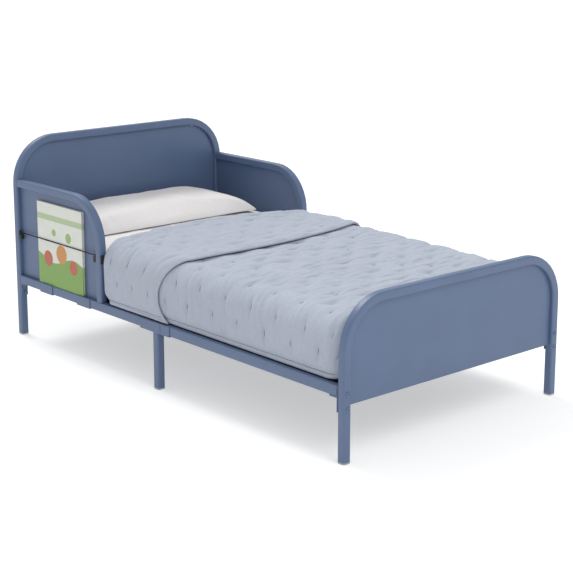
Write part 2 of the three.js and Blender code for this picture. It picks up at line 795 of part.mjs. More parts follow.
// A stuffed pillow: an ellipsoid squared off towards its four corners and flattened underneath.
function pillowGeometry() {
  const ball = new THREE.SphereGeometry(1, 24, 12);
  const place = ball.attributes.position;
  const squared = (value, power) => Math.sign(value) * Math.abs(value) ** power;
  for (let i = 0; i < place.count; i++) {
    const x = place.getX(i);
    const y = place.getZ(i);
    const ring = Math.hypot(x, y) || 1;
    const spread = ring === 1 && place.getY(i) ** 2 > 0.99 ? 0 : squared(ring, 0.7);
    const rise = squared(place.getY(i), 0.9);
    place.setXYZ(
      i,
      (PILLOW_WIDTH / 2) * spread * squared(x / ring, 0.45),
      (PILLOW_HEIGHT / 2) * rise * (rise < 0 ? 0.98 : 1),
      (PILLOW_DEPTH / 2) * spread * squared(y / ring, 0.55),
    );
  }
  return ball.rotateX(Math.PI / 2);
}

const pillow = add("pillow", toGeometry(toSolid(pillowGeometry())), pillowCotton);
pillow.position.set(
  0,
  postFace - PILLOW_DISTANCE - PILLOW_DEPTH / 2,
  sheetTop + GAP + PILLOW_HEIGHT / 2,
);

// ---- Quilt ----

// An upside-down U over the bed: its top and the drop on both sides, solid underneath.
function overBed(half, top, hem, round) {
  const points = [new THREE.Vector2(-half, hem), new THREE.Vector2(half, hem)];
  const steps = 5;
  for (const [side, start] of [
    [1, 0],
    [-1, Math.PI / 2],
  ]) {
    for (let i = 0; i <= steps; i++) {
      const angle = start + ((Math.PI / 2) * i) / steps;
      const x = side * (half - round) + round * Math.cos(angle);
      points.push(new THREE.Vector2(x, top - round + round * Math.sin(angle)));
    }
  }
  return new THREE.Shape(points);
}

function quiltGeometry() {
  const hem = railTop + QUILT_HEM_CLEARANCE;
  const sideEdge = guardFront - QUILT_SIDE_SETBACK;
  const crest = guardFront + QUILT_TONGUE;
  const flapEdge = crest - FLAP_LENGTH;
  const foot = -quiltFoot - QUILT_THICKNESS / 2;
  const innerRound = MATTRESS_EDGE + mattressInset + GAP;
  const outerRound = innerRound + QUILT_THICKNESS;
  const tongue = tubeInner - QUILT_TONGUE_CLEARANCE;
  const outer = alongY(overBed(quiltOuter, quiltTop, hem, outerRound), foot, sideEdge);
  const flapShape = overBed(
    quiltOuter + FLAP_SIDE_THICKNESS,
    quiltTop + FLAP_THICKNESS,
    hem,
    outerRound + FLAP_SIDE_THICKNESS,
  );
  const flap = alongY(flapShape, flapEdge, sideEdge);
  const tip = alongY(overBed(tongue, quiltTop + FLAP_THICKNESS, quiltTop - QUILT_LOFT, 9), 0, crest);
  const inside = alongY(
    overBed(quiltInner, sheetTop + GAP, hem - 1, innerRound),
    -quiltFoot,
    crest + 1,
  );
  const underFootHem = block(
    [-halfWidth, foot - 1, hem - 1],
    [halfWidth, -quiltFoot + 1, railTop + QUILT_FOOT_HEM],
  );
  return cut(join([outer, flap, tip]), [inside, underFootHem]);
}

add("quilt", quiltGeometry(), quiltCotton);

export default bed;
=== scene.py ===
import json
import math

import bmesh
import bpy
import numpy as np
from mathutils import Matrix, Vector


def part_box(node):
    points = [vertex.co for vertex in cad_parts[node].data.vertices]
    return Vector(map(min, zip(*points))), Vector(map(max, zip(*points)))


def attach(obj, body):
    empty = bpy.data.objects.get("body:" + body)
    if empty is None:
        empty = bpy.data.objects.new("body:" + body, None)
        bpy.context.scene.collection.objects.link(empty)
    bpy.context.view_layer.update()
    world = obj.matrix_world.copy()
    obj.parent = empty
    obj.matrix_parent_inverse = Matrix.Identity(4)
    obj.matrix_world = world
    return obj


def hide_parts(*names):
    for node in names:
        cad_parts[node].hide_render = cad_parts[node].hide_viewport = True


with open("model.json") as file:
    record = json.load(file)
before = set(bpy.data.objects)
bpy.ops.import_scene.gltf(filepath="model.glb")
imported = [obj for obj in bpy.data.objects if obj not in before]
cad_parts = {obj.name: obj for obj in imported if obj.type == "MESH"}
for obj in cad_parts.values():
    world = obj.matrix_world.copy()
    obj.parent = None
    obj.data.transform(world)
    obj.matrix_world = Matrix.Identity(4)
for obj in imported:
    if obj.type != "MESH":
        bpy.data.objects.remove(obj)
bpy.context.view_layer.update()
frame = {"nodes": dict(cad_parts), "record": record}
nodes = frame["nodes"]

# ---- Places worked out from the frame, in metres ----

MATTRESS_LOW, MATTRESS_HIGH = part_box("mattress")
SHEET_LOW, SHEET_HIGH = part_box("fitted_sheet")
PILLOW_LOW, PILLOW_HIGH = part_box("pillow")
QUILT_LOW, QUILT_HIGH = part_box("quilt")
BOOK_LOW, BOOK_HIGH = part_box("picture_book")

CLEAR = 0.0003  # between layers that touch
EDGE = 0.040  # rounding of the mattress's long top edges, under the sheet
PLAN_CORNER = 0.047  # rounding of the mattress's four corners, seen from above
REFERENCE = 0.007  # lengths across the bed are measured this far above the sheet
FOOT_SINK = 0.010  # the bed's top lies this much lower at its foot
FAR_SINK = 0.007  # and this much lower beside the far end of the quilt's fold

PAINTED_SHADE_HEIGHT = 0.045  # height of the band of painted shade round the mattress's bottom
SHEET_THICKNESS = 0.0012
SHEET_SIDE = SHEET_HIGH.x
SHEET_END = SHEET_HIGH.y
SHEET_TOP = SHEET_HIGH.z
START_X = SHEET_SIDE + CLEAR - PLAN_CORNER  # where the cloth starts to turn down, across the bed
START_Y = SHEET_END + CLEAR - PLAN_CORNER  # and along the bed

CORD_LOW, CORD_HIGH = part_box("rack_cord")
CORD_X = (CORD_LOW.x + CORD_HIGH.x) / 2
CORD_Z = (CORD_LOW.z + CORD_HIGH.z) / 2
CORD_TURN = 0.003  # length of cord in which its cover's threads go round once
CORD_STRANDS = 4.0

# ---- Colours ----

BLUE = (0.090, 0.135, 0.238)
COTTON_BLUE = (0.405, 0.440, 0.515)
# painted shade: the dark band round the mattress's bottom, for the deep shade in the gap under the quilt's
# hem
PAINTED_SHADE_DARK = (0.020, 0.023, 0.032)
LEAF = (0.15, 0.30, 0.035)
MOSS = (0.27, 0.40, 0.16)
OLIVE = (0.24, 0.38, 0.12)
RUST = (0.40, 0.07, 0.02)
AMBER = (0.50, 0.20, 0.02)
DISCS = [  # on the book's cover: share across, share up, radius in metres, colour
    (0.20, 0.30, 0.020, RUST),
    (0.46, 0.42, 0.026, AMBER),
    (0.76, 0.33, 0.022, RUST),
    (0.30, 0.64, 0.014, OLIVE),
    (0.62, 0.66, 0.010, OLIVE),
]


# ---- Small helpers ----


def smooth(x, low=0.0, high=1.0):
    """0 below low, 1 above high, and an even S between them."""
    t = np.clip((np.asarray(x, float) - low) / (high - low), 0, 1)
    return t * t * (3 - 2 * t)


def rough(x, y, seed):
    """Smooth noise from -1 to 1 with one bump per unit of x and y."""
    table = np.random.default_rng(seed).uniform(-1, 1, (64, 64))
    x, y = np.broadcast_arrays(np.asarray(x, float), np.asarray(y, float))
    i, j = np.floor(x).astype(int), np.floor(y).astype(int)
    fx, fy = x - i, y - j
    fx, fy = fx * fx * (3 - 2 * fx), fy * fy * (3 - 2 * fy)
    low = table[i % 64, j % 64] * (1 - fx) + table[(i + 1) % 64, j % 64] * fx
    high = table[i % 64, (j + 1) % 64] * (1 - fx) + table[(i + 1) % 64, (j + 1) % 64] * fx
    return low * (1 - fy) + high * fy


def new_mesh(name, points, faces, material):
    mesh = bpy.data.meshes.new(name)
    mesh.from_pydata([tuple(map(float, p)) for p in points], [], [tuple(map(int, f)) for f in faces])
    mesh.validate()
    mesh.polygons.foreach_set("use_smooth", [True] * len(mesh.polygons))
    mesh.materials.append(material)
    piece = bpy.data.objects.new(name, mesh)
    bpy.context.scene.collection.objects.link(piece)
    return piece


def grid_faces(columns, rows, start=0, flip=False):
    """Quads of a grid whose point (row, column) has the number start + row * columns + column."""
    i, j = np.meshgrid(np.arange(rows - 1), np.arange(columns - 1), indexing="ij")
    a = start + i * columns + j
    quads = np.stack([a, a + 1, a + columns + 1, a + columns], -1).reshape(-1, 4)
    return quads[:, ::-1] if flip else quads


def border(columns, rows):
    """The numbers of a grid's border points, once round."""
    bottom = [(0, j) for j in range(columns)]
    right = [(i, columns - 1) for i in range(1, rows)]
    top = [(rows - 1, j) for j in range(columns - 2, -1, -1)]
    left = [(i, 0) for i in range(rows - 2, 0, -1)]
    return np.array(bottom + right + top + left)


def two_faced(name, outer, inner, material):
    """A closed piece from two grids of points with the same borders round them."""
    rows, columns = outer.shape[:2]
    count = rows * columns
    edge = border(columns, rows) @ np.array([columns, 1])
    after = np.roll(edge, -1)
    rim = np.stack([after, edge, edge + count, after + count], -1)
    points = np.concatenate([outer.reshape(-1, 3), inner.reshape(-1, 3)])
    faces = np.concatenate([grid_faces(columns, rows), grid_faces(columns, rows, count, True), rim])
    return new_mesh(name, points, faces, material)


def normals_of(grid):
    """Unit normals of a grid of points."""
    normal = np.cross(np.gradient(grid, axis=1), np.gradient(grid, axis=0))
    return normal / np.maximum(np.linalg.norm(normal, axis=2, keepdims=True), 1e-9)


def tube_piece(name, path, radii, across, along, material, sides):
    """A tube round a closed path. across and along are the unit vectors of its section at each point."""
    path, across, along = (np.asarray(x, float) for x in (path, across, along))
    radii = np.broadcast_to(np.asarray(radii, float), (len(path), 2))
    turn = np.arange(sides) / sides * 2 * math.pi
    ring = (
        path[:, None]
        + across[:, None] * (radii[:, 0, None] * np.cos(turn))[..., None]
        + along[:, None] * (radii[:, 1, None] * np.sin(turn))[..., None]
    )
    faces = []
    count = len(path)
    for i in range(count):
        k = (i + 1) % count
        for j in range(sides):
            m = (j + 1) % sides
            faces.append((i * sides + j, i * sides + m, k * sides + m, k * sides + j))
    piece = new_mesh(name, ring.reshape(-1, 3), faces, material)
    face_outwards(piece)
    return piece


def face_outwards(piece):
    """Turns every face of a closed piece outwards."""
    work = bmesh.new()
    work.from_mesh(piece.data)
    bmesh.ops.recalc_face_normals(work, faces=work.faces)
    work.to_mesh(piece.data)
    work.free()


# ---- Materials ----


class Nodes:
    """A material's node tree, with short calls for what the materials below need."""

    def __init__(self, name):
        self.material = bpy.data.materials.new(name)
        self.material.use_nodes = True
        self.tree = self.material.node_tree
        self.shader = self.tree.nodes["Principled BSDF"]
        self.place = self.add("ShaderNodeTexCoord").outputs["Object"]

    def add(self, kind, **values):
        """A new node, with its settings and its sockets' values."""
        node = self.tree.nodes.new(kind)
        for key, value in values.items():
            if hasattr(node, key):
                setattr(node, key, value)
            else:
                node.inputs[key].default_value = value
        return node

    def join(self, source, target):
        self.tree.links.new(source, target)

    def feed(self, socket, source):
        """Joins a source to one of the shader's own sockets."""
        self.join(source, self.shader.inputs[socket])

    def set(self, **values):
        for key, value in values.items():
            self.shader.inputs[key.replace("_", " ")].default_value = value

    def noise(self, scale, detail=3.0, stretch=(1, 1, 1), roughness=0.5):
        """Noise with about scale bumps to a metre."""
        placed = self.add("ShaderNodeMapping")
        placed.inputs["Scale"].default_value = stretch
        self.join(self.place, placed.inputs["Vector"])
        node = self.add("ShaderNodeTexNoise", Scale=scale, Detail=detail, Roughness=roughness)
        self.join(placed.outputs[0], node.inputs["Vector"])
        return node.outputs["Fac"]

    def ramp(self, value, stops):
        """A colour that runs through stops of a position and a colour."""
        node = self.add("ShaderNodeValToRGB")
        ramp = node.color_ramp
        while len(ramp.elements) < len(stops):
            ramp.elements.new(0.5)
        for element, (position, colour) in zip(ramp.elements, stops):
            element.position = position
            element.color = (*colour, 1)
        self.join(value, node.inputs["Fac"])
        return node.outputs["Color"]

    def math(self, operation, *values):
        node = self.add("ShaderNodeMath", operation=operation)
        for socket, value in zip(node.inputs, values):
            if isinstance(value, (int, float)):
                socket.default_value = value
            else:
                self.join(value, socket)
        return node.outputs[0]

    def between(self, value, low, high):
        """A value from 0 to 1 spread between low and high."""
        return self.math("ADD", self.math("MULTIPLY", value, high - low), low)

    def mix(self, share, first, second):
        """The first colour where share is 0 and the second where it is 1."""
        node = self.add("ShaderNodeMix", data_type="RGBA")
        for socket, value in ((node.inputs[0], share), (node.inputs[6], first), (node.inputs[7], second)):
            if isinstance(value, (int, float)):
                socket.default_value = value
            elif isinstance(value, tuple):
                socket.default_value = (*value, 1)
            else:
                self.join(value, socket)
        return node.outputs[2]

    def bump(self, height, strength, distance, below=None):
        """Relief on the shader, over the relief below it if there is one."""
        node = self.add("ShaderNodeBump", Strength=strength, Distance=distance)
        self.join(height, node.inputs["Height"])
        if below is not None:
            self.join(below, node.inputs["Normal"])
        self.join(node.outputs[0], self.shader.inputs["Normal"])
        return node.outputs[0]

    def axes(self):
        """The x, y and z of the place on the object."""
        split = self.add("ShaderNodeSeparateXYZ")
        self.join(self.place, split.inputs[0])
        return split.outputs[:3]


def shade(colour, share):
    """A colour made lighter or darker."""
    return tuple(min(1.0, c * share) for c in colour)


def powder_coat(name, colour, roughness=0.42, metallic=0.0):
    """Satin powder coat: a fine orange-peel skin with slight clouds in colour and gloss."""
    m = Nodes(name)
    clouds = m.noise(9.0, 4.0)
    m.feed("Base Color", m.ramp(clouds, [(0.30, shade(colour, 0.95)), (0.70, shade(colour, 1.05))]))
    m.feed("Roughness", m.between(m.noise(160.0, 2.0), roughness - 0.05, roughness + 0.06))
    m.set(Metallic=metallic)
    peel = m.bump(m.noise(900.0, 2.0), 0.10, 0.0004)
    m.bump(m.noise(260.0, 1.0), 0.05, 0.0006, peel)
    return m.material


def weave_cotton(name, colour, pitch, weave, sheen, mottle=0.03, crease=0.25, stretch=(1, 1, 1)):
    """Plain-woven cotton: threads both ways, slubs, soft clouds of colour and fine creases."""
    m = Nodes(name)
    x, y, z = m.axes()
    turns = 2 * math.pi / pitch
    waves = [m.math("SINE", m.math("MULTIPLY", axis, turns)) for axis in (x, y, z)]
    threads = m.math("ADD", m.math("ADD", waves[0], waves[1]), waves[2])
    threads = m.between(threads, 0.5, 0.67)
    slubs = m.noise(420.0, 2.0, (1.0, 0.25, 1.0))
    clouds = m.noise(7.0, 4.0)
    base = m.ramp(clouds, [(0.28, shade(colour, 1 - mottle)), (0.72, shade(colour, 1 + mottle))])
    fleck = m.ramp(slubs, [(0.30, (0.86, 0.86, 0.87)), (0.62, (1.0, 1.0, 1.0))])
    tint = m.add("ShaderNodeMix", data_type="RGBA", blend_type="MULTIPLY")
    tint.inputs[0].default_value = 0.55
    m.join(base, tint.inputs[6])
    m.join(fleck, tint.inputs[7])
    m.feed("Base Color", tint.outputs[2])
    m.feed("Roughness", m.between(m.noise(60.0, 2.0), 0.84, 0.96))
    m.set(Sheen_Weight=sheen, Sheen_Roughness=0.5, Specular_IOR_Level=0.25)
    creases = m.bump(m.noise(34.0, 4.0, stretch, 0.55), crease, 0.004)
    m.bump(m.math("ADD", threads, slubs), weave, 0.0004, creases)
    return m


def woven_cotton(*values):
    return weave_cotton(*values).material


def mattress_ticking():
    """Pale woven ticking above, and painted shade round the bottom of the mattress: a dark band for the
    deep shade in the gap under the quilt's hem.
    """
    m = weave_cotton("mattress_ticking", (0.74, 0.73, 0.70), 0.0011, 0.5, 0.1)
    pale = m.shader.inputs["Base Color"].links[0].from_socket
    # painted shade: below this height the ticking turns dark, for the shade under the quilt's hem
    below = m.math("LESS_THAN", m.axes()[2], MATTRESS_LOW.z + PAINTED_SHADE_HEIGHT)
    m.feed("Base Color", m.mix(below, pale, PAINTED_SHADE_DARK))
    return m.material


def leg_cap_plastic():
    """Smoky translucent moulded plastic."""
    m = Nodes("leg_cap_plastic")
    clouds = m.noise(120.0, 2.0)
    m.feed("Base Color", m.ramp(clouds, [(0.3, (0.30, 0.33, 0.35)), (0.7, (0.38, 0.41, 0.43))]))
    m.feed("Roughness", m.between(clouds, 0.32, 0.46))
    m.set(Subsurface_Weight=0.25, Subsurface_Scale=0.004)
    m.bump(m.noise(700.0), 0.06, 0.0003)
    return m.material


def black_rubber():
    """Matt black rubber with a fine grain."""
    m = Nodes("anchor_rubber")
    grain = m.noise(500.0, 3.0)
    m.feed("Base Color", m.ramp(grain, [(0.3, (0.008, 0.009, 0.011)), (0.7, (0.017, 0.018, 0.021))]))
    m.feed("Roughness", m.between(grain, 0.55, 0.72))
    m.bump(grain, 0.2, 0.0004)
    return m.material


def braided_elastic():
    """Black elastic cord with a woven cover: two sets of threads wound opposite ways along it."""
    m = Nodes("braided_elastic")
    x, y, z = m.axes()
    along = m.math("MULTIPLY", y, 2 * math.pi / CORD_TURN)
    angle = m.math("ARCTAN2", m.math("ADD", z, -CORD_Z), m.math("ADD", x, -CORD_X))
    around = m.math("MULTIPLY", angle, CORD_STRANDS)
    one = m.math("SINE", m.math("ADD", along, around))
    two = m.math("SINE", m.math("SUBTRACT", along, around))
    braid = m.math("MAXIMUM", one, two)
    raised = m.between(braid, 0.5, 1.0)
    m.feed("Base Color", m.ramp(raised, [(0.3, (0.003, 0.003, 0.004)), (0.9, (0.010, 0.010, 0.013))]))
    m.feed("Roughness", m.between(m.noise(300.0), 0.6, 0.8))
    m.set(Specular_IOR_Level=0.3)
    m.bump(braid, 0.5, 0.0005)
    return m.material


def printed_board():
    """Laminated book cover: plain bands and discs, in no likeness of any real book."""
    m = Nodes("printed_board")
    x, y, z = m.axes()
    width = BOOK_HIGH.y - BOOK_LOW.y
    height = BOOK_HIGH.z - BOOK_LOW.z
    across = m.math("MULTIPLY", m.math("ADD", y, -BOOK_LOW.y), 1 / width)
    up = m.math("MULTIPLY", m.math("ADD", z, -BOOK_LOW.z), 1 / height)
    paper = m.ramp(m.noise(30.0, 2.0), [(0.3, (0.60, 0.61, 0.56)), (0.7, (0.64, 0.65, 0.60))])
    wave = m.math("MULTIPLY", m.math("SINE", m.math("MULTIPLY", across, 7.5)), 0.05)
    band = m.math("LESS_THAN", up, m.math("ADD", wave, 0.34))
    upper = m.math("LESS_THAN", m.math("ABSOLUTE", m.math("ADD", up, -0.83)), 0.035)
    colour = m.mix(band, paper, LEAF)
    colour = m.mix(m.math("MULTIPLY", upper, 0.75), colour, MOSS)
    for place, level, radius, ink in DISCS:
        far = m.math(
            "ADD",
            m.math("POWER", m.math("MULTIPLY", m.math("ADD", across, -place), width), 2.0),
            m.math("POWER", m.math("MULTIPLY", m.math("ADD", up, -level), height), 2.0),
        )
        inside = m.math("LESS_THAN", far, radius * radius)
        colour = m.mix(inside, colour, ink)
    m.feed("Base Color", colour)
    m.feed("Roughness", m.between(m.noise(80.0), 0.28, 0.40))
    m.set(Coat_Weight=0.25, Coat_Roughness=0.25)
    m.bump(m.noise(350.0, 2.0), 0.05, 0.0003)
    return m.material


def page_paper():
    """The edges of a block of pages: fine lines side by side through its thickness."""
    m = Nodes("page_paper")
    x = m.axes()[0]
    lines = m.math("SINE", m.math("MULTIPLY", x, 2 * math.pi / 0.0005))
    spread = m.math("ADD", m.between(lines, 0.5, 0.7), m.math("MULTIPLY", m.noise(200.0), 0.4))
    m.feed("Base Color", m.ramp(spread, [(0.3, (0.62, 0.60, 0.55)), (0.9, (0.80, 0.79, 0.75))]))
    m.feed("Roughness", m.between(m.noise(120.0), 0.75, 0.9))
    m.bump(lines, 0.3, 0.0003)
    return m.material


def pale_floor():
    """A plain pale studio floor."""
    m = Nodes("pale_floor")
    clouds = m.noise(1.5, 3.0)
    m.feed("Base Color", m.ramp(clouds, [(0.3, (0.64, 0.64, 0.64)), (0.7, (0.66, 0.66, 0.66))]))
    m.feed("Roughness", m.between(clouds, 0.75, 0.85))
    m.set(Specular_IOR_Level=0.1, Emission_Color=(1.0, 1.0, 1.0, 1.0), Emission_Strength=0.47)
    return m.material


frame_paint = powder_coat("frame_paint", BLUE)
# painted highlight: the frame's blue made lighter on the bolt heads, for the light ring round each head
bolt_paint_painted_highlight = powder_coat("bolt_paint_painted_highlight", shade(BLUE, 1.25), 0.30, 0.25)
cap_plastic = leg_cap_plastic()
rubber = black_rubber()
elastic = braided_elastic()
ticking = mattress_ticking()
sheet_cotton = woven_cotton("sheet_cotton", (0.78, 0.765, 0.74), 0.0007, 0.3, 0.1)
pillow_cotton = woven_cotton("pillow_cotton", (0.79, 0.765, 0.755), 0.0007, 0.3, 0.12, 0.015, 0.18)
quilt_cotton = woven_cotton("quilt_cotton", COTTON_BLUE, 0.0008, 0.35, 0.15, 0.025, 0.30, (1.0, 2.2, 1.0))
binding_cotton = woven_cotton("binding_cotton", shade(COTTON_BLUE, 0.97), 0.0007, 0.3, 0.15)
# thread darker than the cloth: partly real sewing, partly painted shade for the grooves along the binding
# and at the pinches
thread = woven_cotton("quilting_thread", shade(COTTON_BLUE, 0.5), 0.0005, 0.5, 0.1)
cover_board = printed_board()
paper = page_paper()

CAD_MATERIALS = {
    "frame_paint": frame_paint,
    "bolt_steel": bolt_paint_painted_highlight,
    "cap_plastic": cap_plastic,
    "black_rubber": rubber,
}

# ---- The frame: the CAD nodes, with smooth bends and crisp edges ----

SHARP_ANGLE = math.radians(38)


def smooth_by_angle():
    """Joins the facets' shared corners, then shades them smooth except across sharp edges."""
    group = bpy.data.node_groups.new("smooth_by_angle", "GeometryNodeTree")
    group.interface.new_socket("Geometry", in_out="INPUT", socket_type="NodeSocketGeometry")
    group.interface.new_socket("Geometry", in_out="OUTPUT", socket_type="NodeSocketGeometry")
    made = {
        key: group.nodes.new(kind)
        for key, kind in {
            "start": "NodeGroupInput",
            "merge": "GeometryNodeMergeByDistance",
            "angle": "GeometryNodeInputMeshEdgeAngle",
            "gentle": "FunctionNodeCompare",
            "faces": "GeometryNodeSetShadeSmooth",
            "edges": "GeometryNodeSetShadeSmooth",
            "end": "NodeGroupOutput",
        }.items()
    }
    made["merge"].inputs["Distance"].default_value = 1e-5
    made["gentle"].data_type = "FLOAT"
    made["gentle"].operation = "LESS_THAN"
    made["gentle"].inputs["B"].default_value = SHARP_ANGLE
    made["faces"].domain = "FACE"
    made["edges"].domain = "EDGE"
    link = group.links.new
    link(made["start"].outputs["Geometry"], made["merge"].inputs["Geometry"])
    link(made["merge"].outputs["Geometry"], made["faces"].inputs["Geometry"])
    link(made["faces"].outputs["Geometry"], made["edges"].inputs["Geometry"])
    link(made["angle"].outputs["Unsigned Angle"], made["gentle"].inputs["A"])
    link(made["gentle"].outputs["Result"], made["edges"].inputs["Shade Smooth"])
    link(made["edges"].outputs["Geometry"], made["end"].inputs["Geometry"])
    return group


shading = smooth_by_angle()
for name, node in nodes.items():
    for attribute in ("custom_normal", "sharp_face", "sharp_edge"):
        if attribute in node.data.attributes:
            node.data.attributes.remove(node.data.attributes[attribute])
    node.modifiers.new("smooth_by_angle", "NODES").node_group = shading
    weighted = node.modifiers.new("weighted_normals", "WEIGHTED_NORMAL")
    weighted.keep_sharp = True
    weighted.weight = 80
for row in frame["record"]["subparts"]:
    finish = CAD_MATERIALS.get(row["material_slot"])
    if finish is not None:
        nodes[row["node"]].material_slots[0].material = finish
nodes["rack_cord"].material_slots[0].material = elastic

# ---- The bedding's shape: cloth laid over a soft rounded slab ----


def lie(x, y, z):
    """The soft top lies lower towards the foot and beside the far end of the fold."""
    foot = FOOT_SINK * smooth(-y, 0.12, 0.62)
    far = FAR_SINK * smooth(x, 0.14, 0.31) * smooth(y, 0.10, 0.25)
    return z - (foot + far) * smooth(z, 0.25, 0.30)


def drape(across, along, top, side, end, drop_side, drop_end, head_end=True):
    """Where flat cloth comes to lie, and how far it has turned down there, in radians.

    across and along are measured over the cloth from the middle of the bed. top, side and end are
    how far the cloth stands off the sheet on each of them.
    """
    over_x = np.maximum(np.abs(across) - START_X, 0)
    beyond = np.abs(along) if head_end else np.maximum(-along, 0)
    over_y = np.maximum(beyond - START_Y, 0)
    p = np.clip(over_x / drop_side, 0, 1)
    q = np.clip(over_y / drop_end, 0, 1)
    reach = np.sqrt(np.maximum(p * p + q * q - p * p * q * q, 0))
    length = np.maximum(np.hypot(p, q), 1e-9)
    cosine, sine = p / length, q / length
    distance = reach * (drop_side * cosine**2 + drop_end * sine**2)
    stand = side * cosine**2 + end * sine**2
    lead = PLAN_CORNER - EDGE
    turn = np.clip((distance - lead) / (EDGE + REFERENCE), 0, math.pi / 2)
    hang = np.maximum(distance - lead - (EDGE + REFERENCE) * math.pi / 2, 0)
    out = np.minimum(distance, lead) + (EDGE + stand) * np.sin(turn)
    z = SHEET_TOP + CLEAR - EDGE + (EDGE + top) * np.cos(turn) - hang
    x = np.sign(across) * (np.minimum(np.abs(across), START_X) + out * cosine)
    edge_y = np.minimum(beyond, START_Y)
    y = np.where(over_y > 0, np.sign(along) * (edge_y + out * sine), along)
    return np.stack([x, y, lie(x, y, z)], -1), turn


def cloth_run(bottom):
    """Length over the edge of the bed from where it starts to turn down to a hem at a height."""
    vertical = SHEET_TOP + CLEAR - EDGE - bottom
    return PLAN_CORNER - EDGE + (EDGE + REFERENCE) * math.pi / 2 + vertical


def make_sheet():
    """Fitted sheet: a thin shell over the mattress, gathered by elastic at its lower hem."""
    drop = cloth_run(SHEET_LOW.z + 0.001)
    s = np.linspace(-START_X - drop, START_X + drop, 151)
    v = np.linspace(-START_Y - drop, START_Y + drop, 271)
    s, v = np.meshgrid(s, v)
    depth = np.maximum(np.abs(s) - START_X, np.abs(v) - START_Y)
    hem = smooth(depth, drop - 0.05, drop)
    around = s + v
    gather = 0.0016 * hem * (np.sin(around * 310) + 0.6 * rough(around * 95, depth * 20, 5)) - 0.002 * hem
    slack = 0.0010 * rough(s * 14, v * 9, 6) * (1 - hem) + 0.0006 * rough(s * 35, v * 60, 7) * (1 - hem)
    corner = smooth(np.abs(s), START_X - 0.02, START_X + 0.05)
    corner = corner * smooth(np.abs(v), START_Y - 0.02, START_Y + 0.05)
    pull = 0.0010 * corner * np.sin((np.abs(s) - np.abs(v)) * 260)
    offset = np.minimum(gather + slack + pull - 0.0016, -0.0003)
    outer, _ = drape(s, v, offset, offset, offset, drop, drop)
    below = offset - SHEET_THICKNESS
    inner, _ = drape(s, v, below, below, below, drop, drop)
    sheet = two_faced("bed_sheet", outer, inner, sheet_cotton)
    face_outwards(sheet)
    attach(sheet, "mattress")
    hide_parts("fitted_sheet")


def make_mattress():
    """Foam mattress in ticking, with a quilted underside and piping round its lower edge."""
    inset = SHEET_THICKNESS + 0.0034
    bottom_round = 0.010
    columns, rows = 111, 201
    drop = cloth_run(MATTRESS_LOW.z + bottom_round)
    s = np.linspace(-START_X - drop, START_X + drop, columns)
    v = np.linspace(-START_Y - drop, START_Y + drop, rows)
    s, v = np.meshgrid(s, v)
    upper, _ = drape(s, v, -inset, -inset, -inset, drop, drop)
    over_x = np.maximum(np.abs(s) - START_X, 0) / drop
    over_y = np.maximum(np.abs(v) - START_Y, 0) / drop
    reach = np.sqrt(np.maximum(over_x**2 + over_y**2 - over_x**2 * over_y**2, 0))
    length = np.maximum(np.hypot(over_x, over_y), 1e-9)
    radius = (PLAN_CORNER - inset) * np.sin(np.minimum(reach * 1.6, 1) * math.pi / 2)
    tuft = 0.5 - 0.5 * np.cos(s * 2 * math.pi / 0.09) * np.cos(v * 2 * math.pi / 0.09)
    lift = bottom_round * smooth(reach, 0.35, 1.0) ** 2 + 0.0018 * (1 - tuft) * (1 - smooth(reach, 0, 0.4))
    lower = np.stack(
        [
            np.sign(s) * (np.minimum(np.abs(s), START_X) + radius * over_x / length),
            np.sign(v) * (np.minimum(np.abs(v), START_Y) + radius * over_y / length),
            MATTRESS_LOW.z + CLEAR + lift,
        ],
        -1,
    )
    edge = border(columns, rows)
    lower[edge[:, 0], edge[:, 1]] = upper[edge[:, 0], edge[:, 1]]
    mattress = two_faced("mattress_foam", upper, lower, ticking)
    face_outwards(mattress)
    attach(mattress, "mattress")
    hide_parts("mattress")
    path = upper[edge[:, 0], edge[:, 1]]
    inner = np.stack([np.clip(path[:, 0], -START_X, START_X), np.clip(path[:, 1], -START_Y, START_Y)], -1)
    out = path[:, :2] - inner
    out = out / np.maximum(np.linalg.norm(out, axis=1, keepdims=True), 1e-9)
    outward = np.column_stack([out, np.zeros(len(out))])
    upward = np.tile([0.0, 0.0, 1.0], (len(out), 1))
    centre = path - outward * 0.0005
    piping = tube_piece("mattress_piping", centre, (0.0024, 0.0026), outward, upward, ticking, 10)
    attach(piping, "mattress")


# ---- Quilt ----

HEM_HEIGHT = QUILT_LOW.z + 0.0015  # of the sides; the binding reaches a little lower
FOOT_HEM_HEIGHT = HEM_HEIGHT + 0.010
QUILT_DROP = cloth_run(HEM_HEIGHT)
QUILT_FOOT_DROP = cloth_run(FOOT_HEM_HEIGHT)
HALF_ACROSS = START_X + QUILT_DROP
FOLD_REACH = 0.010  # the fold bulges this far past where it starts to turn back
CREST = QUILT_HIGH.y - FOLD_REACH  # where the fold starts to turn back, along the bed
CREST_SETBACK = 0.037  # the fold stands back this far beside the guardrails
CREST_CORNER = 0.026  # and its lower corners this much further
FREE_EDGE = -0.057  # the folded part's free edge, along the bed
NEAR_PULL = 0.068  # the free edge comes this far towards the head at the near side
NEAR_TAIL = 0.043  # and its lower corner falls this far back
FAR_PULL = 0.058  # the same at the far side
FOLD_RUN = 0.026  # cloth in the roll of the fold
MAIN_RUN = QUILT_FOOT_DROP + SHEET_END + CLEAR - PLAN_CORNER + CREST
FLAP_RUN = CREST - FREE_EDGE
QUILT_RUN = MAIN_RUN + FOLD_RUN + FLAP_RUN
TOP_STAND = 0.0112  # from the sheet to the middle of the quilt
SIDE_STAND = 0.0058
END_STAND = 0.0030
FLAP_RISE = 0.0155  # the folded part stands this much further off
FLAP_SIDE_RISE = 0.0098
TOP_THICK = 0.0165
SIDE_THICK = 0.0108
END_THICK = 0.0056
THICK_ENOUGH = 0.0115  # thinner cloth has less relief
LENS_RISE = 0.0020  # the puffs between the rows
